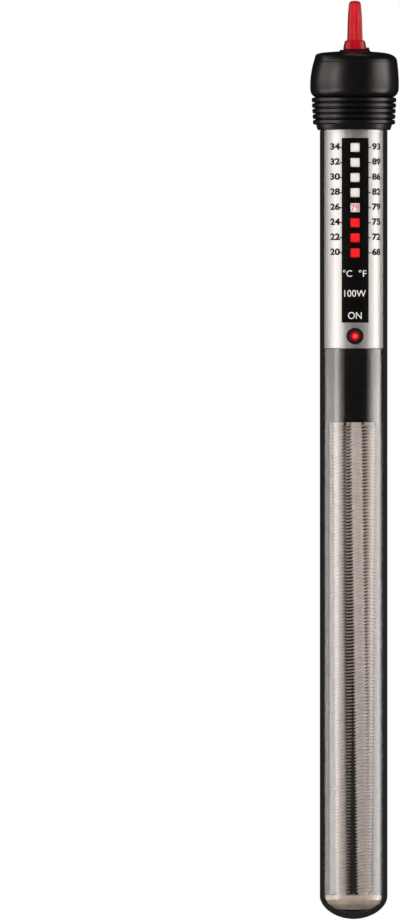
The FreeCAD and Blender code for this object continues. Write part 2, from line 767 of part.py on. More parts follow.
save(make_glass_tube(), "glass_tube")
save(make_head_cap(), "head_cap")
save(make_knob_collar(), "knob_collar")
save(make_cord_gland(), "cord_gland")
save(make_tube_bung(), "tube_bung")
save(make_bung_rings(), "bung_rings")
save(make_shaft_rings(), "shaft_rings")
save(make_label_sleeve(), "label_sleeve")
save(make_lamp_bezel(), "lamp_bezel")
save(make_lamp_lens(), "lamp_lens")
save(make_window_backing(), "window_backing")
save(make_indicator_strip(), "indicator_strip")
save(make_indicator_nut(), "indicator_nut")
save(make_knob_shaft(), "knob_shaft")
save(make_shaft_clip(), "shaft_clip")
save(make_knob(), "knob")
save(make_adjusting_screw(), "adjusting_screw")
save(make_adjusting_nut(), "adjusting_nut")
save(make_chassis(), "chassis_frame")
save(make_shaft_bush(), "shaft_bush")
save(make_stack_insulators(), "stack_insulators")
save(make_terminal(SET_Y, 1), "set_arm_terminal")
save(make_terminal(BIMETAL_Y, -1), "bimetal_terminal")
save(make_stack_plate(), "stack_plate")
save(make_stack_rivets(), "stack_rivets")
save(make_set_arm(), "set_arm")
save(make_set_contact(), "set_contact")
save(make_snap_magnet(), "snap_magnet")
save(make_bimetal_strip(), "bimetal_strip")
save(make_moving_contact(), "moving_contact")
save(make_neon_lamp(), "neon_lamp")
save(make_lamp_holder(), "lamp_holder")
save(make_lamp_resistor(), "lamp_resistor")
save(make_lamp_leads(), "lamp_leads")
save(make_heat_shield(), "heat_shield")
save(make_shield_disc(), "shield_disc")
save(make_element_top(), "element_top_disc")
save(make_element_bottom(), "element_bottom_disc")
save(make_bottom_cushion(), "bottom_cushion")
coil_form = make_coil_form()
for n in range(4):
    save(make_rod(n), "core_rod_" + str(n + 1))
    save(on_rod(coil_form, n), "heating_coil_" + str(n + 1))
save(make_coil_bridges(), "coil_bridges")
save(make_ferrules(), "lead_ferrules")
save(make_lead_sleeving(), "lead_sleeving")
save(make_lead_element(), "lead_wire_element")
save(make_lead_return(), "lead_wire_return")
save(make_lead_supply(), "lead_wire_supply")
save(make_crimp_sleeves(), "crimp_sleeves")
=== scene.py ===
import json
import math

import bmesh
import bpy
import numpy as np
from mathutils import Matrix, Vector


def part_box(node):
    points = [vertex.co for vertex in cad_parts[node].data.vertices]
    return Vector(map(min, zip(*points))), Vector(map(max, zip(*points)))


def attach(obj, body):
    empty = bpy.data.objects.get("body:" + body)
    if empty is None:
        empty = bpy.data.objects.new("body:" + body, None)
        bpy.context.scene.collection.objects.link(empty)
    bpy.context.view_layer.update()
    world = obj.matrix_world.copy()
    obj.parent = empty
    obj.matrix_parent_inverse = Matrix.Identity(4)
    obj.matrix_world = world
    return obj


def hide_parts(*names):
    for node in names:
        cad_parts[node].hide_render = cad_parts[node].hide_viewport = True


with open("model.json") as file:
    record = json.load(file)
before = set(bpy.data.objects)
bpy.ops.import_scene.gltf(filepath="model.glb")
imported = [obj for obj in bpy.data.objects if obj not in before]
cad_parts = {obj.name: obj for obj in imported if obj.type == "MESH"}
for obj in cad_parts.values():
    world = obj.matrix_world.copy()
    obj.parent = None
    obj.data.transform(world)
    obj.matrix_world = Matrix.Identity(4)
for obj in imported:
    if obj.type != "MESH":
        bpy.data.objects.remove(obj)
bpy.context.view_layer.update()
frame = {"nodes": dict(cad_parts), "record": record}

# Drawn sizes are in millimetres and become metres where a mesh is made.
MM = 0.001

# ---------------------------------------------------------------- sizes taken from the frame


def box_mm(node):
    low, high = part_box(node)
    return low / MM, high / MM


glass_high = box_mm("glass_tube")[1]
cap_low, cap_high = box_mm("head_cap")
sleeve_high = box_mm("label_sleeve")[1]
knob_low, knob_high = box_mm("knob")
collar_low, collar_high = box_mm("knob_collar")
gland_low, gland_high = box_mm("cord_gland")
lens_low, lens_high = box_mm("neon_lamp")
shield_low, shield_high = box_mm("heat_shield")

TUBE_R = glass_high.x
TUBE_WALL = 1.2
DOME_H = 7.2
DOME_FLOOR = 1.3
DOME_POINT = 1.75
SEAT_R = 10.8
SEAT_Z = 256.5
RIM = 0.4
NEAR_END = 0.4

CAP_Z0 = cap_low.z
CAP_TOP = cap_high.z
CAP_EXTRA_DEPTH = 3.15
CAP_ROOF = 276.2
RIB_COUNT = 5
RIB_TOP_Z = 266.5
RIB_PITCH = 1.8
RIB_HALF = 0.82
SEAM_Z = 278.9

SHAFT_X = (collar_low.x + collar_high.x) / 2
SHAFT_Y = (collar_low.y + collar_high.y) / 2
SHAFT_HOLE = 2.3
COLLAR_SEAT = 281.4
KNOB_BORE = 1.92
KNOB_BORE_TOP = 294.2
KNOB_RIBS = 6
KNOB_RIB_DEG = -73.0

GLAND_X = (gland_low.x + gland_high.x) / 2
GLAND_Y = (gland_low.y + gland_high.y) / 2
GLAND_SEAT = 280.9
CORD_R = 3.0

GLAND_SOCKET_R = 4.25

SHIELD_WALL = 0.44

SLEEVE_R = sleeve_high.x
WINDOW_TOP_Z = 250.9
WINDOW_PITCH = 4.89
WINDOW_X = SHAFT_X
WINDOW_HALF = 1.45
WINDOW_ROUND = 0.22
BAND_X = (-3.8, 4.6)
BAND_Z = (194.0, 254.0)
BACKING_R = 8.6
LAMP_Z = (lens_low.z + lens_high.z) / 2

ROD_RING = 4.95
ROD_START_DEG = -142.0
TWIST_DEG = -29.5
COIL_R = 1.98
COIL_WIRE = 0.3
COIL_PITCH = 1.07
COIL_TURNS = 142
COIL_Z0 = 8.5

CELSIUS = ("34", "32", "30", "28", "26", "24", "22", "20")
FAHRENHEIT = ("93", "89", "86", "82", "79", "75", "72", "68")

ROOT = "heater"

# ---------------------------------------------------------------- node helpers


def new_material(name):
    made = bpy.data.materials.new(name)
    made.use_nodes = True
    return made, made.node_tree, made.node_tree.nodes["Principled BSDF"]


def node(tree, kind, inputs=None, **settings):
    made = tree.nodes.new("ShaderNode" + kind)
    for key, value in settings.items():
        setattr(made, key, value)
    for key, value in (inputs or {}).items():
        made.inputs[key].default_value = value
    return made


def wire(tree, source, target):
    tree.links.new(source, target)


def place(tree, stretch=(1, 1, 1), shift=(0, 0, 0)):
    """Object coordinates, stretched and shifted."""
    coords = node(tree, "TexCoord")
    mapping = node(tree, "Mapping", {"Scale": stretch, "Location": shift})
    wire(tree, coords.outputs["Object"], mapping.inputs["Vector"])
    return mapping.outputs["Vector"]


def noise(tree, per_mm, stretch=(1, 1, 1), shift=(0, 0, 0), detail=4.0, rough=0.55):
    made = node(tree, "TexNoise", {"Scale": per_mm / MM, "Detail": detail, "Roughness": rough})
    wire(tree, place(tree, stretch, shift), made.inputs["Vector"])
    return made.outputs["Fac"]


def spread(tree, value, low, high, start=0.3, end=0.7):
    """A value that runs between start and end, spread over low to high."""
    made = node(tree, "MapRange", {"From Min": start, "From Max": end, "To Min": low, "To Max": high})
    wire(tree, value, made.inputs["Value"])
    return made.outputs["Result"]


def tones(tree, value, stops):
    ramp = node(tree, "ValToRGB")
    elements = ramp.color_ramp.elements
    while len(elements) < len(stops):
        elements.new(0.5)
    for element, (at, colour) in zip(elements, stops):
        element.position = at
        element.color = (*colour, 1.0)
    wire(tree, value, ramp.inputs["Fac"])
    return ramp.outputs["Color"]


def mixed(tree, kind, amount, first, second):
    made = node(tree, "MixRGB", {"Fac": amount}, blend_type=kind)
    wire(tree, first, made.inputs["Color1"])
    wire(tree, second, made.inputs["Color2"])
    return made.outputs["Color"]


def bumps(tree, shader, layers):
    """Stacks bump layers of (height value, height in mm, strength) on the shader."""
    normal = None
    for value, height, strength in layers:
        bump = node(tree, "Bump", {"Strength": strength, "Distance": height * MM})
        wire(tree, value, bump.inputs["Height"])
        if normal is not None:
            wire(tree, normal, bump.inputs["Normal"])
        normal = bump.outputs["Normal"]
    wire(tree, normal, shader.inputs["Normal"])


# ---------------------------------------------------------------- materials


def mottled(name, dark, light, per_mm, rough, grain_mm, grain_per_mm=6.0, stretch=(1, 1, 1), **sockets):
    """Two tones that drift into each other, uneven roughness, and a fine grain."""
    made, tree, shader = new_material(name)
    for key, value in sockets.items():
        shader.inputs[key.replace("_", " ")].default_value = value
    drift = noise(tree, per_mm, stretch)
    specks = noise(tree, per_mm * 9.0, stretch, (0.3, 0.1, 0.2), 2.0)
    both = mixed(tree, "MIX", 0.35, drift, specks)
    wire(tree, tones(tree, both, [(0.32, dark), (0.68, light)]), shader.inputs["Base Color"])
    wire(tree, spread(tree, drift, rough[0], rough[1]), shader.inputs["Roughness"])
    grain = noise(tree, grain_per_mm, stretch, (0.7, 0.4, 0.6), 3.0)
    bumps(tree, shader, [(drift, grain_mm * 3, 0.25), (grain, grain_mm, 0.6)])
    return made


def clear_glass():
    made, tree, shader = new_material("clear_glass")
    shader.inputs["Base Color"].default_value = (0.96, 0.975, 0.97, 1)
    shader.inputs["Transmission Weight"].default_value = 1.0
    shader.inputs["IOR"].default_value = 1.47
    smears = noise(tree, 0.05, (1, 1, 0.35), (0.2, 0.5, 0.1), 5.0)
    wire(tree, spread(tree, smears, 0.001, 0.008), shader.inputs["Roughness"])
    draw_lines = noise(tree, 0.25, (1, 1, 0.02), detail=2.0)
    bumps(tree, shader, [(draw_lines, 0.006, 0.2)])
    path = node(tree, "LightPath")
    clear = node(tree, "BsdfTransparent")
    mix = node(tree, "MixShader")
    wire(tree, path.outputs["Is Shadow Ray"], mix.inputs["Fac"])
    wire(tree, shader.outputs["BSDF"], mix.inputs[1])
    wire(tree, clear.outputs["BSDF"], mix.inputs[2])
    wire(tree, mix.outputs["Shader"], tree.nodes["Material Output"].inputs["Surface"])
    return made


def black_rubber():
    """Satin moulded rubber: soft dusty patches, a fine grain and faint flow lines."""
    made, tree, shader = new_material("black_rubber")
    shader.inputs["Specular IOR Level"].default_value = 0.4
    dust = noise(tree, 0.12, detail=6.0)
    specks = noise(tree, 3.5, shift=(0.4, 0.2, 0.9), detail=2.0)
    both = mixed(tree, "MIX", 0.4, dust, specks)
    stops = [
        (0.3, (0.0025, 0.0022, 0.0021)),
        (0.6, (0.0045, 0.004, 0.0038)),
        (0.8, (0.012, 0.0105, 0.01)),
    ]
    wire(tree, tones(tree, both, stops), shader.inputs["Base Color"])
    wire(tree, spread(tree, both, 0.24, 0.36), shader.inputs["Roughness"])
    grain = noise(tree, 9.0, detail=2.0)
    flow = noise(tree, 0.5, (1, 1, 0.15), (0.1, 0.8, 0.3))
    bumps(tree, shader, [(flow, 0.03, 0.2), (grain, 0.006, 0.4)])
    return made


def knob_red():
    """Glossy red moulding with slight flow marks and fingertip wear."""
    made, tree, shader = new_material("knob_red")
    shader.inputs["Specular IOR Level"].default_value = 0.25
    flow = noise(tree, 0.45, (1, 1, 0.25), detail=5.0)
    specks = noise(tree, 5.0, shift=(0.6, 0.3, 0.8), detail=2.0)
    both = mixed(tree, "MIX", 0.3, flow, specks)
    stops = [(0.25, (0.36, 0.0015, 0.007)), (0.55, (0.5, 0.003, 0.011)), (0.85, (0.62, 0.008, 0.02))]
    wire(tree, tones(tree, both, stops), shader.inputs["Base Color"])
    wire(tree, spread(tree, both, 0.24, 0.36), shader.inputs["Roughness"])
    bumps(tree, shader, [(flow, 0.02, 0.2), (specks, 0.003, 0.4)])
    return made


def silver_sleeve():
    """Silver printed sheet: metal flake, faint upright streaks and a warm cast."""
    made, tree, shader = new_material("silver_sleeve")
    shader.inputs["Metallic"].default_value = 0.82
    streaks = noise(tree, 0.9, (1, 1, 0.002), detail=5.0)
    flakes = noise(tree, 14.0, shift=(0.2, 0.7, 0.1), detail=1.0)
    both = mixed(tree, "MIX", 0.35, streaks, flakes)
    stops = [(0.3, (0.42, 0.41, 0.405)), (0.5, (0.475, 0.465, 0.46)), (0.72, (0.53, 0.52, 0.515))]
    wire(tree, tones(tree, both, stops), shader.inputs["Base Color"])
    wire(tree, spread(tree, both, 0.36, 0.47), shader.inputs["Roughness"])
    bumps(tree, shader, [(streaks, 0.01, 0.3), (flakes, 0.004, 0.5)])
    return made


def resistance_wire():
    """Drawn wire with a thin patchy oxide, and painted shade that darkens it on the side facing the tube's
    axis.
    """
    made, tree, shader = new_material("resistance_wire")
    shader.inputs["Metallic"].default_value = 0.3
    oxide = noise(tree, 0.35, detail=6.0, rough=0.65)
    fine = noise(tree, 4.0, shift=(0.5, 0.5, 0.1), detail=3.0)
    both = mixed(tree, "MIX", 0.45, oxide, fine)
    stops = [(0.3, (0.34, 0.3, 0.275)), (0.52, (0.47, 0.425, 0.395)), (0.75, (0.6, 0.56, 0.525))]
    coords = node(tree, "TexCoord")
    level = node(tree, "VectorMath", {1: (1, 1, 0)}, operation="MULTIPLY")
    from_axis = node(tree, "VectorMath", operation="LENGTH")
    wire(tree, coords.outputs["Object"], level.inputs[0])
    wire(tree, level.outputs["Vector"], from_axis.inputs[0])
    # Painted shade: the colour darkens towards the tube's axis, standing in for the shadow deep between the
    # coils
    reach = spread(tree, from_axis.outputs["Value"], 0.0, 1.0, 3.0 * MM, 5.2 * MM)
    painted_shade_stops = [(0.0, (0.05, 0.042, 0.04)), (0.55, (0.4, 0.37, 0.35)), (1.0, (1.0, 1.0, 1.0))]
    painted_shade = tones(tree, reach, painted_shade_stops)
    colour = mixed(tree, "MULTIPLY", 1.0, tones(tree, both, stops), painted_shade)
    wire(tree, colour, shader.inputs["Base Color"])
    wire(tree, spread(tree, both, 0.5, 0.36), shader.inputs["Roughness"])
    bumps(tree, shader, [(fine, 0.01, 0.5)])
    return made


def lamp_red():
    """Red lens: a bright core that dies away to a dark rim, over a fine prism pattern."""
    made, tree, shader = new_material("lamp_red")
    shader.inputs["Coat Weight"].default_value = 0.5
    shader.inputs["Roughness"].default_value = 0.25
    coords = node(tree, "TexCoord")
    offset = node(tree, "VectorMath", operation="SUBTRACT")
    offset.inputs[1].default_value = Vector((WINDOW_X, -SLEEVE_R, LAMP_Z)) * MM
    length = node(tree, "VectorMath", operation="LENGTH")
    wire(tree, coords.outputs["Object"], offset.inputs[0])
    wire(tree, offset.outputs["Vector"], length.inputs[0])
    ripple = noise(tree, 2.5, detail=3.0)
    reach = spread(tree, length.outputs["Value"], 0.0, 1.0, 0.0, 1.7 * MM)
    uneven = mixed(tree, "MIX", 0.12, reach, ripple)
    glow = [
        (0.1, (1.0, 0.13, 0.1)),
        (0.38, (0.75, 0.015, 0.018)),
        (0.68, (0.2, 0.003, 0.004)),
        (0.95, (0.03, 0.001, 0.001)),
    ]
    colour = tones(tree, uneven, glow)
    wire(tree, colour, shader.inputs["Base Color"])
    wire(tree, colour, shader.inputs["Emission Color"])
    shader.inputs["Emission Strength"].default_value = 0.55
    bumps(tree, shader, [(ripple, 0.03, 0.4)])
    return made


def metal(name, dark, light, rough, stretch=(1, 1, 1)):
    return mottled(name, dark, light, 0.6, rough, 0.006, 8.0, stretch, Metallic=1.0)


def plastic(name, dark, light, rough=(0.42, 0.55), **sockets):
    return mottled(name, dark, light, 0.4, rough, 0.012, 5.0, **sockets)


LENGTHWAYS = (1, 1, 0.08)

materials = {
    "clear_glass": clear_glass(),
    "black_rubber": black_rubber(),
    "seal_rubber": plastic("seal_rubber", (0.012, 0.012, 0.012), (0.03, 0.029, 0.028)),
    "black_plastic": plastic(
        "black_plastic", (0.0015, 0.0015, 0.0015), (0.006, 0.0055, 0.005), (0.3, 0.42)
    ),
    "red_plastic": plastic("red_plastic", (0.82, 0.004, 0.008), (0.95, 0.012, 0.018), (0.45, 0.6)),
    "silver_sleeve": silver_sleeve(),
    "white_plastic": plastic("white_plastic", (0.84, 0.83, 0.82), (0.93, 0.93, 0.92), (0.5, 0.65)),
    "frame_plastic": plastic("frame_plastic", (0.6, 0.55, 0.45), (0.76, 0.72, 0.62)),
    "lamp_glass": plastic("lamp_glass", (0.45, 0.02, 0.01), (0.8, 0.12, 0.05), (0.08, 0.16)),
    "lamp_red": lamp_red(),
    "resistor_body": plastic("resistor_body", (0.4, 0.28, 0.16), (0.58, 0.44, 0.28)),
    "bare_wire": metal("bare_wire", (0.5, 0.49, 0.47), (0.74, 0.72, 0.7), (0.25, 0.4)),
    "spring_steel": metal("spring_steel", (0.4, 0.4, 0.41), (0.6, 0.6, 0.6), (0.25, 0.38), LENGTHWAYS),
    "steel": metal("steel", (0.38, 0.38, 0.38), (0.58, 0.58, 0.57), (0.3, 0.45)),
    "brass": metal("brass", (0.55, 0.4, 0.14), (0.8, 0.62, 0.27), (0.25, 0.42)),
    "ceramic": mottled("ceramic", (0.36, 0.29, 0.23), (0.6, 0.52, 0.43), 0.5, (0.7, 0.9), 0.03, 4.0),
    "silver_contact": metal("silver_contact", (0.66, 0.65, 0.63), (0.86, 0.85, 0.84), (0.2, 0.35)),
    "magnet": mottled("magnet", (0.04, 0.04, 0.045), (0.13, 0.13, 0.135), 1.2, (0.55, 0.75), 0.02),
    "bimetal": metal("bimetal", (0.45, 0.41, 0.35), (0.64, 0.6, 0.53), (0.3, 0.45), LENGTHWAYS),
    "gloss_black": mottled(
        "gloss_black", (0.0015, 0.0014, 0.0013), (0.005, 0.0045, 0.004), 0.3, (0.16, 0.22), 0.0015
    ),
    "cushion": plastic("cushion", (0.008, 0.011, 0.03), (0.02, 0.025, 0.06), (0.5, 0.65)),
    "resistance_wire": resistance_wire(),
    "glass_sleeving": mottled(
        "glass_sleeving", (0.6, 0.57, 0.5), (0.88, 0.86, 0.8), 1.5, (0.7, 0.9), 0.05, 3.0
    ),
    "lead_wire": metal("lead_wire", (0.42, 0.38, 0.32), (0.64, 0.6, 0.54), (0.3, 0.45)),
}

# ---------------------------------------------------------------- mesh helpers


def add_object(name, mesh):
    made = bpy.data.objects.new(name, mesh)
    bpy.context.scene.collection.objects.link(made)
    return made


def skin(rings, loop=False):
    """Vertices and faces over a stack of rings that run anticlockwise; a ring of one point is a pole."""
    verts, starts = [], []
    for ring in rings:
        starts.append(len(verts))
        verts.extend(ring)
    pairs = [(k, k + 1) for k in range(len(rings) - 1)]
    if loop:
        pairs.append((len(rings) - 1, 0))
    faces = []
    for low, high in pairs:
        count = max(len(rings[low]), len(rings[high]))
        a, b = starts[low], starts[high]
        for i in range(count):
            j = (i + 1) % count
            if len(rings[low]) == 1:
                faces.append((a, b + j, b + i))
            elif len(rings[high]) == 1:
                faces.append((a + i, a + j, b))
            else:
                faces.append((a + i, a + j, b + j, b + i))
    return verts, faces


def make_mesh(name, verts, faces):
    mesh = bpy.data.meshes.new(name)
    mesh.from_pydata([Vector(v) * MM for v in verts], [], faces)
    mesh.update()
    return mesh


def dress(piece, slot_name, body, material=None, sharp_deg=32.0):
    """Smooth shading, the slot's material, and the body that the piece rides on."""
    mesh = piece.data
    mesh.shade_smooth()
    mesh.set_sharp_from_angle(angle=math.radians(sharp_deg))
    mesh.materials.clear()
    mesh.materials.append(material or materials[slot_name])
    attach(piece, body)
    return piece


def circle(radius, z, count, x=0.0, y=0.0):
    if radius == 0:
        return [(x, y, z)]
    steps = [2 * math.pi * i / count for i in range(count)]
    return [(x + radius * math.cos(t), y + radius * math.sin(t), z) for t in steps]


def eased(outline, steps=5):
    """A closed outline of (r, z, ease): each corner is rounded off over its ease."""
    points = []
    count = len(outline)
    for i in range(count):
        r, z, ease = outline[i]
        corner = Vector((r, z))
        if ease == 0:
            points.append(corner)
            continue
        before = Vector(outline[i - 1][:2]) - corner
        after = Vector(outline[(i + 1) % count][:2]) - corner
        start = corner + before.normalized() * min(ease, before.length * 0.49)
        end = corner + after.normalized() * min(ease, after.length * 0.49)
        for k in range(steps + 1):
            t = k / steps
            points.append(start * (1 - t) ** 2 + corner * 2 * t * (1 - t) + end * t * t)
    return points


def lathe(name, points, count, x=0.0, y=0.0, loop=True):
    rings = [circle(max(r, 0), z, count, x, y) for r, z in points]
    verts, faces = skin(rings, loop)
    return add_object(name, make_mesh(name, verts, faces))


def through(points, steps):
    """A smooth run of points (Catmull-Rom) through control points of any size."""
    keys = [np.array(p, float) for p in points]
    keys = [2 * keys[0] - keys[1]] + keys + [2 * keys[-1] - keys[-2]]
    run = []
    for k in range(1, len(keys) - 2):
        a, b, c, d = keys[k - 1 : k + 3]
        for i in range(steps):
            t = i / steps
            bend = (2 * a - 5 * b + 4 * c - d) * t * t + (3 * b - a - 3 * c + d) * t**3
            run.append(0.5 * (2 * b + (c - a) * t + bend))
    run.append(keys[-2])
    return run


def carve(target, cutters):
    """Cuts the cutters out of the target and removes them."""
    for cutter in cutters:
        cut = target.modifiers.new("cut", "BOOLEAN")
        cut.operation = "DIFFERENCE"
        cut.solver = "EXACT"
        cut.object = cutter
    shaped = target.evaluated_get(bpy.context.evaluated_depsgraph_get())
    mesh = bpy.data.meshes.new_from_object(shaped)
    target.modifiers.clear()
    target.data = mesh
    for cutter in cutters:
        bpy.data.objects.remove(cutter)


# ---------------------------------------------------------------- glass tube


def dome_points(radius, height, base, steps=28):
    """The closed end: slightly pointed, from the tip up to the straight wall."""
    points = []
    for k in range(steps + 1):
        t = 0.5 * math.pi * k / steps
        z = base + height * (1 - max(math.cos(t), 0) ** (2 / DOME_POINT))
        points.append((radius * math.sin(t), z))
    return points


def make_glass():
    bore = TUBE_R - TUBE_WALL
    outer = dome_points(TUBE_R, DOME_H, 0.0)
    inner = dome_points(bore, DOME_H - DOME_FLOOR, DOME_FLOOR)
    # Rings close to both ends keep the long walls' shading upright
    wall_z = [DOME_H + NEAR_END] + [SEAT_Z * k / 6 for k in range(1, 6)] + [SEAT_Z - NEAR_END]
    wall = [(TUBE_R, z) for z in wall_z]
    shoulder = [(TUBE_R, SEAT_Z - 0.15), (TUBE_R - 0.05, SEAT_Z - 0.04), (SEAT_R, SEAT_Z)]
    top = glass_high.z
    rim = [(SEAT_R, top - RIM), (SEAT_R - 0.12, top - 0.12), (SEAT_R - RIM, top), (bore + RIM, top)]
    rim += [(bore + 0.1, top - 0.12), (bore, top - RIM)]
    rim += [(bore, top - RIM - NEAR_END), (bore, DOME_H + NEAR_END)]
    points = outer + wall + shoulder + rim + inner[::-1]
    glass = lathe("glass_body", points, 160, loop=False)
    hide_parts("glass_tube")
    return dress(glass, "clear_glass", ROOT)


# ---------------------------------------------------------------- head


def oval(a, b, z, shift, count=176):
    steps = [2 * math.pi * i / count for i in range(count)]
    return [(shift + a * math.cos(t), b * math.sin(t), z) for t in steps]


def neck_size(z):
    """Half width and half depth of the ribbed neck between its ribs."""
    heights = (CAP_Z0, CAP_Z0 + 0.7, 262.0, 267.2)
    half_width = np.interp(z, heights, (11.9, 12.3, 12.6, 12.8))
    half_depth = np.interp(z, heights, (12.9, 13.6, 14.6, 15.4))
    return half_width, half_depth


def rib_rings():
    rings = []
    for i in reversed(range(RIB_COUNT)):
        middle = RIB_TOP_Z - i * RIB_PITCH
        crest_a, crest_b = 13.78 - 0.1 * i, 16.7 - 0.35 * i
        for k in range(-7, 8):
            t = math.sin(0.5 * math.pi * k / 7)
            rise = math.sqrt(max(1 - abs(t) ** 4.5, 0))
            z = middle + RIB_HALF * t
            a, b = neck_size(z)
            rings.append(oval(a + (crest_a - a) * rise, b + (crest_b - b) * rise, z, 0.12))
    return rings


def make_head():
    lip = [(11.3, 0.0), (11.65, 0.03), (11.85, 0.15), (11.95, 0.35)]
    rings = [[(0, 0, CAP_Z0)]]
    rings += [oval(a, a + 1.1, CAP_Z0 + dz, 0.1) for a, dz in lip]
    rings += rib_rings()
    # (half width, height, sideways shift) up the body: the left side leans in more than the right
    body = [
        (12.7, 267.4, 0.14), (13.2, 267.7, 0.16), (13.75, 268.2, 0.2), (14.15, 268.9, 0.24),
        (14.4, 270.0, 0.27), (14.4, 273.2, 0.3), (14.05, 276.5, 0.42), (13.75, 278.4, 0.55),
        (13.5, 279.5, 0.62), (13.05, 280.5, 0.45), (12.45, 281.15, 0.12), (11.4, 281.62, -0.18),
        (9.6, 281.93, -0.25), (6.5, 282.2, -0.1), (3.0, 282.42, 0.0),
    ]
    run = [p for p in through(body, 7) if abs(p[1] - SEAM_Z) > 0.2]
    widths, heights, shifts = np.array(run).T
    for dz, depth in ((-0.2, 0.0), (-0.13, 0.02), (-0.07, 0.11), (0.07, 0.11), (0.13, 0.02), (0.2, 0.0)):
        z = SEAM_Z + dz
        run.append((np.interp(z, heights, widths) - depth, z, np.interp(z, heights, shifts)))
    for a, z, shift in sorted(run, key=lambda p: p[1]):
        rings.append(oval(a, a + CAP_EXTRA_DEPTH * min(1, a / 9), z, shift))
    rings.append([(0, 0, CAP_TOP)])
    verts, faces = skin(rings)
    head = add_object("head_shell", make_mesh("head_shell", verts, faces))
    high = CAP_TOP + 2
    bore = [(0, CAP_Z0 - 1), (SEAT_R + 0.35, CAP_Z0 - 1), (SEAT_R + 0.35, CAP_Z0 + 0.1)]
    bore += [(SEAT_R + 0.05, CAP_Z0 + 0.4), (SEAT_R + 0.05, CAP_ROOF), (0, CAP_ROOF)]
    collar_r = collar_high.x - SHAFT_X + 0.05
    collar = [(0, CAP_ROOF - 1), (SHAFT_HOLE, CAP_ROOF - 1), (SHAFT_HOLE, COLLAR_SEAT)]
    collar += [(collar_r, COLLAR_SEAT), (collar_r, 282.1), (collar_r + 0.5, high), (0, high)]
    throat = GLAND_SOCKET_R - 0.4
    gland = [(0, CAP_ROOF - 1), (throat, CAP_ROOF - 1), (throat, GLAND_SEAT)]
    gland += [(GLAND_SOCKET_R, GLAND_SEAT), (GLAND_SOCKET_R, 282.0), (GLAND_SOCKET_R + 0.5, high), (0, high)]
    cutters = [
        lathe("cut_bore", bore, 128, loop=False),
        lathe("cut_collar", collar, 96, SHAFT_X, SHAFT_Y, loop=False),
        lathe("cut_gland", gland, 96, GLAND_X, GLAND_Y, loop=False),
    ]
    carve(head, cutters)
    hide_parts("head_cap")
    return dress(head, "black_rubber", ROOT, sharp_deg=38)


def make_collar():
    base = COLLAR_SEAT
    outline = [
        (SHAFT_HOLE, base, 0), (5.0, base, 0.05), (5.0, 282.5, 0.12), (4.75, 282.75, 0.1),
        (4.35, 282.75, 0.1), (4.22, 282.45, 0.08), (4.05, 282.45, 0.08), (3.95, 282.66, 0.1),
        (3.55, 282.66, 0.1), (3.45, 282.4, 0.08), (SHAFT_HOLE, 282.4, 0.1),
    ]
    collar = lathe("collar_ring", eased(outline), 112, SHAFT_X, SHAFT_Y)
    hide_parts("knob_collar")
    dull = {"Specular_IOR_Level": 0.12}
    tone = ((0.004, 0.004, 0.004), (0.014, 0.013, 0.013))
    matt = mottled("matt_black", *tone, 0.5, (0.55, 0.68), 0.01, **dull)
    return dress(collar, "black_plastic", ROOT, matt, sharp_deg=50)


def make_gland():
    top = gland_high.z
    foot = gland_low.z
    outline = [
        (CORD_R, foot, 0), (4.6, foot, 0.1), (4.6, foot + 1.5, 0.1), (3.8, foot + 1.5, 0),
        (3.8, GLAND_SEAT, 0), (4.2, GLAND_SEAT, 0.05), (4.2, 282.6, 0.1), (4.0, 282.75, 0.1),
        (4.0, 283.0, 0.1), (4.2, 283.15, 0.1), (4.2, top, 0.35), (CORD_R, top, 0.25),
    ]
    gland = lathe("gland_ring", eased(outline), 112, GLAND_X, GLAND_Y)
    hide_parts("cord_gland")
    return dress(gland, "black_rubber", ROOT, sharp_deg=50)


def make_shield():
    """The black sleeve, with a hair of room for the indicator strip that slides inside it."""
    outer, foot, top = shield_high.x, shield_low.z, shield_high.z
    bore = outer - SHIELD_WALL
    outline = [(bore, foot, 0.08), (outer, foot, 0.15), (outer, top, 0.15), (bore, top, 0.08)]
    shield = lathe("shield_sleeve", eased(outline), 128)
    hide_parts("heat_shield")
    return dress(shield, "gloss_black", ROOT, sharp_deg=50)


def ribbed_ring(radius, depth, z, count=144):
    """One level of the knob: round ribs with narrow valleys between them."""
    ring = []
    for i in range(count):
        t = 2 * math.pi * i / count
        crest = math.sqrt(math.cos(KNOB_RIBS / 2 * (t - math.radians(KNOB_RIB_DEG))) ** 2 + 0.012)
        r = radius - depth * (1 - min(crest, 1))
        ring.append((SHAFT_X + r * math.cos(t), SHAFT_Y + r * math.sin(t), z))
    return ring


def make_knob():
    foot, top = knob_low.z, knob_high.z
    # (radius, height, valley depth) from the foot up: a flared ring, a dished step, then the fluted stem
    flare = [
        (3.1, foot, 0), (3.55, foot + 0.03, 0), (3.78, foot + 0.18, 0.03), (3.8, foot + 0.5, 0.05),
        (3.66, foot + 1.2, 0.07), (3.46, foot + 2.1, 0.09), (3.32, foot + 2.65, 0.1),
        (3.12, foot + 2.95, 0.1), (2.9, foot + 2.9, 0.14), (2.74, foot + 2.76, 0.25),
        (2.62, foot + 2.98, 0.36), (2.56, foot + 3.5, 0.45),
    ]
    stem = [
        (2.53, foot + 4.6, 0.46), (2.44, foot + 7.5, 0.37), (2.32, foot + 10.9, 0.25),
        (2.15, foot + 13.2, 0.42), (2.06, foot + 14.4, 0.46), (1.86, foot + 15.2, 0.36),
        (1.42, foot + 15.66, 0.2), (0.8, foot + 15.84, 0.08),
    ]
    rings = [[(SHAFT_X, SHAFT_Y, KNOB_BORE_TOP)]]
    rings += [ribbed_ring(KNOB_BORE, 0, z) for z in (KNOB_BORE_TOP, KNOB_BORE_TOP - 5, foot + 0.2)]
    rings.append(ribbed_ring(KNOB_BORE + 0.2, 0, foot))
    rings += [ribbed_ring(r, depth, z) for r, z, depth in through(flare + stem, 6)]
    rings.append([(SHAFT_X, SHAFT_Y, top)])
    verts, faces = skin(rings)
    knob = add_object("dial_knob", make_mesh("dial_knob", verts, faces))
    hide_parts("knob")
    return dress(knob, "red_plastic", "knob_body", knob_red(), sharp_deg=60)


# ---------------------------------------------------------------- printing on the sleeve


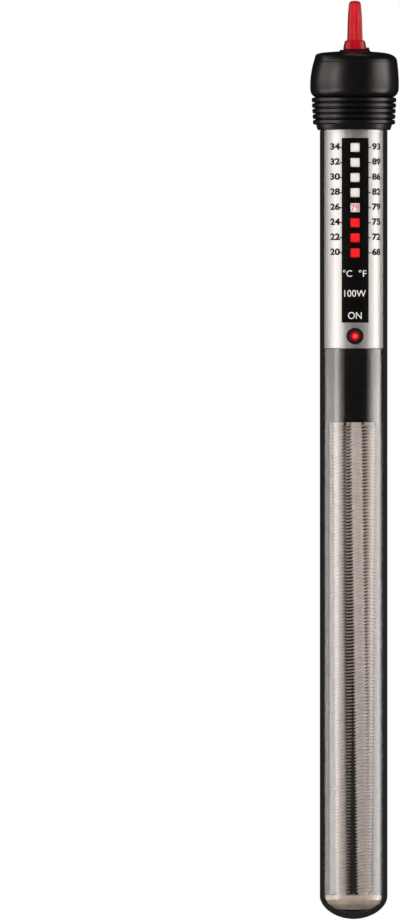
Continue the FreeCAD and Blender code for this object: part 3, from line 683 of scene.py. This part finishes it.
def flat_shape(outlines):
    """A flat mesh in millimetres from closed outlines; an outline inside another is a hole."""
    curve = bpy.data.curves.new("outline", "CURVE")
    curve.dimensions = "2D"
    curve.fill_mode = "BOTH"
    for outline in outlines:
        spline = curve.splines.new("POLY")
        spline.points.add(len(outline) - 1)
        for point, (u, v) in zip(spline.points, outline):
            point.co = (u, v, 0, 1)
        spline.use_cyclic_u = True
    return flattened(curve)


def flat_text(text, size, weight=0.0):
    curve = bpy.data.curves.new("text", "FONT")
    curve.body = text
    curve.size = size
    curve.offset = weight
    curve.align_x = "CENTER"
    curve.align_y = "CENTER"
    curve.resolution_u = 4
    return flattened(curve)


def flattened(curve):
    holder = bpy.data.objects.new("holder", curve)
    bpy.context.scene.collection.objects.link(holder)
    bpy.context.view_layer.update()
    mesh = bpy.data.meshes.new_from_object(holder.evaluated_get(bpy.context.evaluated_depsgraph_get()))
    bpy.data.objects.remove(holder)
    bpy.data.curves.remove(curve)
    return mesh


def fit(mesh, width, height, u, v):
    """Scales a flat mesh to width by height and centres it on (u, v)."""
    low = [min(p.co[k] for p in mesh.vertices) for k in (0, 1)]
    high = [max(p.co[k] for p in mesh.vertices) for k in (0, 1)]
    for p in mesh.vertices:
        p.co.x = u + (p.co.x - (low[0] + high[0]) / 2) * width / (high[0] - low[0])
        p.co.y = v + (p.co.y - (low[1] + high[1]) / 2) * height / (high[1] - low[1])
    return mesh


def rounded_square(u, v, half, ease, steps=6):
    points = []
    for corner in range(4):
        for k in range(steps + 1):
            t = 0.5 * math.pi * (corner + k / steps)
            side = 0.5 * math.pi * (corner + 0.5)
            cu = u + math.copysign(half - ease, math.cos(side))
            cv = v + math.copysign(half - ease, math.sin(side))
            points.append((cu + ease * math.cos(t), cv + ease * math.sin(t)))
    return points


def rectangle(u0, u1, v0, v1):
    return [(u0, v0), (u1, v0), (u1, v1), (u0, v1)]


def arc_of(x, radius=None):
    """Distance round the sleeve, from its front line, of a point that shows at sideways place x."""
    r = radius or SLEEVE_R
    return r * math.asin(x / r)


def wrap_print(name, flats, radius, slot_name, material, ink=0.02):
    """Joins flat meshes, slices them into narrow upright strips and bends them round the tube."""
    work = bmesh.new()
    for flat in flats:
        work.from_mesh(flat)
        bpy.data.meshes.remove(flat)
    slice_mm = 0.4
    reach = max(abs(v.co.x) for v in work.verts)
    for k in range(-int(reach / slice_mm), int(reach / slice_mm) + 1):
        parts = work.verts[:] + work.edges[:] + work.faces[:]
        bmesh.ops.bisect_plane(work, geom=parts, plane_co=(k * slice_mm, 0, 0), plane_no=(1, 0, 0))
    for v in work.verts:
        t = v.co.x / radius
        v.co = Vector((radius * math.sin(t), -radius * math.cos(t), v.co.y)) * MM
    bmesh.ops.remove_doubles(work, verts=work.verts, dist=0.002 * MM)
    for face in work.faces:
        face.normal_update()
        middle = face.calc_center_median()
        if face.normal.dot(Vector((middle.x, middle.y, 0))) < 0:
            face.normal_flip()
    mesh = bpy.data.meshes.new(name)
    work.to_mesh(mesh)
    work.free()
    piece = add_object(name, mesh)
    thick = piece.modifiers.new("ink", "SOLIDIFY")
    thick.thickness = ink * MM
    thick.offset = 1.0
    return dress(piece, slot_name, ROOT, material)


def make_scale():
    dull = {"Specular_IOR_Level": 0.06}
    black = ((0.0006, 0.0006, 0.0006), (0.002, 0.0018, 0.0018))
    grey = ((0.004, 0.0035, 0.0035), (0.012, 0.011, 0.011))
    ink_black = mottled("ink_black", *black, 0.8, (0.5, 0.6), 0.0015, **dull)
    ink_grey = mottled("ink_grey", *grey, 1.5, (0.7, 0.8), 0.0015, **dull)
    ink_white = mottled("ink_white", (0.8, 0.8, 0.8), (0.94, 0.94, 0.94), 1.5, (0.45, 0.6), 0.004)
    ink_red = mottled("ink_red", (0.75, 0.05, 0.09), (0.9, 0.12, 0.16), 1.5, (0.45, 0.6), 0.004)
    rows = [WINDOW_TOP_Z - k * WINDOW_PITCH for k in range(len(CELSIUS))]

    u0, u1 = arc_of(BAND_X[0]), arc_of(BAND_X[1])
    outlines = [rectangle(u0, u1, *BAND_Z)]
    outlines += [rounded_square(arc_of(WINDOW_X), z, WINDOW_HALF, WINDOW_ROUND) for z in rows]
    wrap_print("scale_band", [flat_shape(outlines)], SLEEVE_R + 0.01, "black_plastic", ink_black)

    number_w, number_h, number_lift, letter_mm, bold = 3.75, 2.2, 0.36, 3.0, 0.12
    for name, numbers, middle, dash in (
        ("scale_celsius", CELSIUS, -5.92, (-4.5, BAND_X[0])),
        ("scale_fahrenheit", FAHRENHEIT, 7.05, (BAND_X[1], 5.3)),
    ):
        flats = []
        for z, text in zip(rows, numbers):
            figures = flat_text(text, letter_mm, bold)
            flats.append(fit(figures, number_w, number_h, arc_of(middle), z + number_lift))
            flats.append(flat_shape([rectangle(arc_of(dash[0]), arc_of(dash[1]), z - 0.17, z + 0.17)]))
        wrap_print(name, flats, SLEEVE_R + 0.01, "black_plastic", ink_grey)

    words = [("°C", -2.0, 2.9, 2.2, 210.0), ("°F", 2.75, 2.55, 2.2, 210.0)]
    words += [("100W", 0.4, 6.9, 2.2, 203.5), ("ON", 0.3, 4.3, 2.3, 196.3)]
    flats = []
    for text, x, width, height, z in words:
        flats.append(fit(flat_text(text, letter_mm), width, height, arc_of(x), z))
    wrap_print("band_lettering", flats, SLEEVE_R + 0.035, "white_plastic", ink_white)

    mark = fit(flat_text(FAHRENHEIT[4], letter_mm, 0.04), 2.6, 2.2, arc_of(WINDOW_X, BACKING_R), rows[4])
    wrap_print("window_mark", [mark], BACKING_R + 0.01, "red_plastic", ink_red)


# ---------------------------------------------------------------- heating element


def coil_path(seed):
    """The wire's centre line before it leans: a tail down into the lower disc, the turns, a tail up."""
    per_turn = 24
    count = COIL_TURNS * per_turn
    turn = np.arange(count + 1) / per_turn
    z = turn * COIL_PITCH
    drift = np.random.default_rng(seed)
    phases = drift.uniform(0, 2 * math.pi, 6)
    z = z + 0.012 * np.sin(turn * 0.83 + phases[0]) + 0.01 * np.sin(turn * 2.1 + phases[1])
    radius = COIL_R + 0.01 * np.sin(turn * 1.3 + phases[2]) + 0.006 * np.sin(turn * 0.37 + phases[3])
    tail = np.arange(1, 9) / 8.0
    fall = 1.5 * tail**1.4
    turn = np.concatenate([-0.16 * tail[::-1], turn, turn[-1] + 0.16 * tail])
    z = np.concatenate([z[0] - fall[::-1], z, z[-1] + fall])
    radius = np.concatenate([np.full(8, radius[0]), radius, np.full(8, radius[-1])])
    angle = turn * 2 * math.pi
    return np.stack([radius * np.cos(angle), radius * np.sin(angle), z], axis=1)


def make_coil(index):
    start = math.radians(ROD_START_DEG + 90.0 * index)
    turned = start + math.radians(TWIST_DEG)
    top_z = COIL_Z0 + COIL_PITCH * COIL_TURNS
    low = Vector((ROD_RING * math.cos(start), ROD_RING * math.sin(start), COIL_Z0))
    high = Vector((ROD_RING * math.cos(turned), ROD_RING * math.sin(turned), top_z))
    lean = np.array(Vector((0, 0, 1)).rotation_difference(high - low).to_matrix())
    path = coil_path(index + 11)
    along = np.gradient(path, axis=0)
    along /= np.linalg.norm(along, axis=1, keepdims=True)
    outward = path * (1, 1, 0)
    outward -= along * np.sum(outward * along, axis=1, keepdims=True)
    outward /= np.linalg.norm(outward, axis=1, keepdims=True)
    side = np.cross(along, outward)
    sides = 8
    rings = []
    for k in range(sides):
        t = 2 * math.pi * k / sides
        rings.append(path + COIL_WIRE * (math.cos(t) * outward + math.sin(t) * side))
    points = np.stack(rings, axis=1) @ lean.T + np.array(low)
    verts = points.reshape(-1, 3)
    faces = []
    for row in range(len(path) - 1):
        a, b = row * sides, (row + 1) * sides
        faces += [(a + k, a + (k + 1) % sides, b + (k + 1) % sides, b + k) for k in range(sides)]
    last = (len(path) - 1) * sides
    faces.append(tuple(range(sides))[::-1])
    faces.append(tuple(range(last, last + sides)))
    name = f"wire_coil_{index + 1}"
    coil = add_object(name, make_mesh(name, verts.tolist(), faces))
    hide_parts(f"heating_coil_{index + 1}")
    return dress(coil, "resistance_wire", ROOT, sharp_deg=70)


# ---------------------------------------------------------------- finishes on the frame's own nodes


def dress_frame():
    slots = {part["node"]: part["material_slot"] for part in frame["record"]["subparts"]}
    clay = ((0.42, 0.38, 0.35), (0.62, 0.57, 0.53))
    rod_clay = mottled("rod_ceramic", *clay, 0.5, (0.55, 0.75), 0.02, 4.0)
    for name, held in frame["nodes"].items():
        if held.hide_render:
            continue
        held.data.materials.clear()
        held.data.materials.append(rod_clay if name.startswith("core_rod") else materials[slots[name]])


# ---------------------------------------------------------------- camera, light and floor


def make_camera():
    # Level, square to the scale, with the object right of the middle as the printed frame had it
    view_height, distance, left_of_axis = 0.2997, 6.0, 0.05
    lens = bpy.data.cameras.new("camera")
    lens.sensor_width = 36.0
    lens.lens = lens.sensor_width * distance / view_height
    camera = bpy.data.objects.new("camera", lens)
    bpy.context.scene.collection.objects.link(camera)
    camera.location = (-left_of_axis, -distance, 0.1492)
    camera.rotation_euler = (math.radians(90), 0, 0)
    lens.clip_end = 50
    bpy.context.scene.camera = camera


def softbox(name, from_deg, to_deg, radiance, low=-0.4, high=0.7, glossy=True, diffuse=True):
    """A tall light over the directions between two angles; 0 is the camera's side and + is right."""
    away, tall, height = 1.0, high - low, (low + high) / 2
    middle = math.radians((from_deg + to_deg) / 2)
    width = 2 * away * math.tan(math.radians(abs(to_deg - from_deg) / 2))
    light = bpy.data.lights.new(name, "AREA")
    light.shape = "RECTANGLE"
    light.size = width
    light.size_y = tall
    light.energy = 4.0 * width * tall * radiance
    light.color = (1.0, 0.93, 0.9)
    lamp = bpy.data.objects.new(name, light)
    bpy.context.scene.collection.objects.link(lamp)
    lamp.location = (away * math.sin(middle), -away * math.cos(middle), height)
    lamp.rotation_euler = (math.radians(90), 0, middle)
    lamp.visible_camera = False
    lamp.visible_diffuse = diffuse
    lamp.visible_glossy = glossy
    lamp.visible_transmission = glossy
    return lamp


def make_lights():
    # Side strips, each as (from, to, radiance), that fade towards the front
    strips = [(-34, -42, 0.4), (-42, -50, 0.9), (-50, -57, 2.1), (-57, -73, 3.6)]
    strips += [(-73, -94, 1.95), (-94, -117, 1.5)]
    strips += [(48, 56, 0.35), (56, 63, 0.9), (63, 72, 2.1), (72, 85, 3.0), (85, 108, 3.6)]
    # The strips show only in reflections, and leave a gap at the label's height to keep its figures clear
    gap_low, gap_high = 0.1914, 0.279
    for start, end, radiance in strips:
        softbox("strip_low", start, end, radiance, high=gap_low, diffuse=False)
        softbox("strip_high", start, end, radiance, low=gap_high, diffuse=False)
    for middle, radiance in ((-42, 0.9), (0, 6.5), (42, 0.9)):
        softbox("front_fill", middle - 12, middle + 12, radiance, glossy=False)
    softbox("back_fill", 150, 210, 0.5, glossy=False)
    top = softbox("top_fill", -20, 20, 0.8, low=0.0, high=0.7)
    top.location = (0.0, 0.0, 1.3)
    top.rotation_euler = (0, 0, 0)


def make_world():
    """White behind the object; dark around it for every ray that isn't the camera's own."""
    world = bpy.data.worlds.new("studio")
    bpy.context.scene.world = world
    world.use_nodes = True
    tree = world.node_tree
    seen = tree.nodes["Background"]
    seen.inputs["Color"].default_value = (1, 1, 1, 1)
    seen.inputs["Strength"].default_value = 1.0
    around = node(tree, "Background", {"Color": (1.0, 0.9, 0.84, 1), "Strength": 0.02})
    path = node(tree, "LightPath")
    mix = node(tree, "MixShader")
    wire(tree, path.outputs["Is Camera Ray"], mix.inputs["Fac"])
    wire(tree, around.outputs["Background"], mix.inputs[1])
    wire(tree, seen.outputs["Background"], mix.inputs[2])
    wire(tree, mix.outputs["Shader"], tree.nodes["World Output"].inputs["Surface"])


def make_floor():
    radius_mm = 330.0
    rings = [circle(radius_mm * k / 6, -0.3, 96) for k in range(7)]
    verts, faces = skin(rings[::-1])
    floor = add_object("floor", make_mesh("floor", verts, faces))
    made, tree, shader = new_material("pale_floor")
    shader.inputs["Roughness"].default_value = 0.9
    shader.inputs["Emission Color"].default_value = (1, 1, 1, 1)
    shader.inputs["Emission Strength"].default_value = 0.8
    patches = noise(tree, 0.01, detail=3.0)
    pale = tones(tree, patches, [(0.3, (0.86, 0.86, 0.86)), (0.7, (0.9, 0.9, 0.9))])
    wire(tree, pale, shader.inputs["Base Color"])
    floor.data.materials.append(made)
    floor.visible_glossy = False
    floor.visible_transmission = False


# ---------------------------------------------------------------- the scene

make_camera()
make_glass()
make_head()
make_collar()
make_gland()
make_shield()
make_knob()
make_scale()
for number in range(4):
    make_coil(number)
dress_frame()
make_lights()
make_world()
make_floor()
bpy.context.scene.view_settings.view_transform = "Standard"
